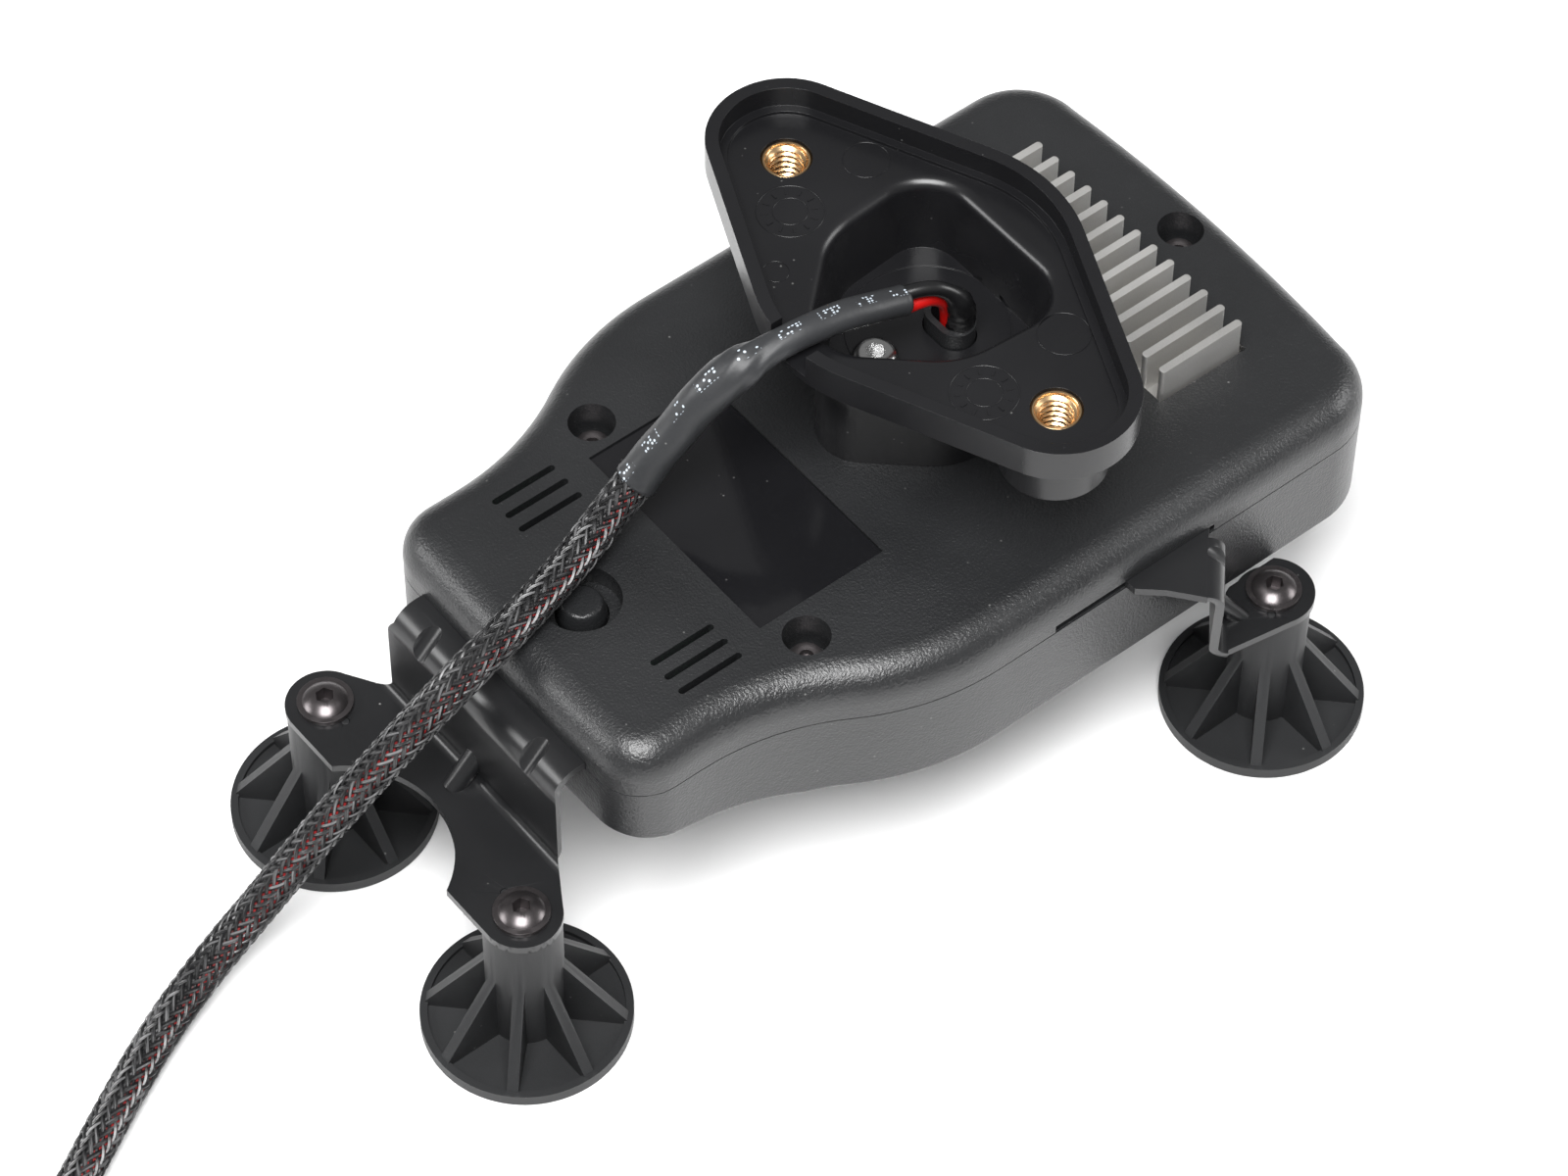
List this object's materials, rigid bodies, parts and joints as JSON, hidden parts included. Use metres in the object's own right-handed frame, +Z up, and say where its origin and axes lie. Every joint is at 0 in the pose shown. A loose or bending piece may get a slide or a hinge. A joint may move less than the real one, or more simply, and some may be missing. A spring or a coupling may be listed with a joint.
{
  "type": "electronics pod on disc feet",
  "caption": "Tapered two-shell electronics pod lying face down on ribbed disc feet with sheet brackets, rear fins, push button, raised oval mounting flange and a sleeved cable.",
  "frame": {"origin": "centre of the footprint on the plane the feet stand on", "axes": "+X from the narrow end to the wide finned end, +Z up out of the rear face, y = 0 is the plane of symmetry of the housing"},
  "size_m": [0.3061, 0.2393, 0.091],
  "materials": {
    "charcoal_plastic": "satin fine grain",
    "flange_plastic": "satin to semi-gloss black",
    "foot_plastic": "matt textured",
    "button_plastic": "satin",
    "label_film": "smooth dark film",
    "black_sheet": "satin black coat",
    "fin_metal": "bead blasted",
    "insert_brass": "machined",
    "screw_steel": "bright stainless",
    "oxide_steel": "black oxide",
    "board_laminate": "solder mask",
    "chip_epoxy": "matt",
    "gap_pad": "soft matt",
    "terminal_plastic": "satin",
    "soft_rubber": "matt",
    "black_insulation": "satin",
    "red_insulation": "satin",
    "shrink_tube": "semi-matt",
    "braid": "braided monofilament",
    "plug_plastic": "satin"
  },
  "bodies": {
    "pod": {"rear_shell": "charcoal_plastic", "front_shell": "charcoal_plastic", "circuit_board": "board_laminate", "board_screws": "screw_steel", "power_chip": "chip_epoxy", "thermal_pad": "gap_pad", "switch_case": "chip_epoxy", "terminal_block": "terminal_plastic", "inner_leads": "black_insulation", "case_screws": "oxide_steel", "label_plate": "label_film", "heat_sink": "fin_metal", "heat_sink_screws": "screw_steel", "mounting_flange": "flange_plastic", "flange_inserts": "insert_brass", "flange_screws": "screw_steel", "cable_grommet": "soft_rubber", "end_bracket": "black_sheet", "side_bracket_right": "black_sheet", "side_bracket_left": "black_sheet", "foot_end_left": "foot_plastic", "foot_end_right": "foot_plastic", "foot_side_left": "foot_plastic", "foot_side_right": "foot_plastic", "foot_nuts": "insert_brass", "foot_screws": "oxide_steel", "black_wire": "black_insulation", "red_wire": "red_insulation", "thin_sleeve": "shrink_tube", "wide_sleeve": "shrink_tube", "braided_cable": "braid", "cable_coil": "braid", "cable_tail": "braid", "cable_plug": "plug_plastic", "plug_pins": "insert_brass"},
    "button": {"button_cap": "button_plastic", "switch_plunger": "chip_epoxy"}
  },
  "joints": [
    {"name": "button_press", "type": "slide", "parent": "pod", "child": "button", "axis": [0, 0, -1], "range_m": [0, 0.0008], "stiffness_N_per_m": 2200}
  ]
}
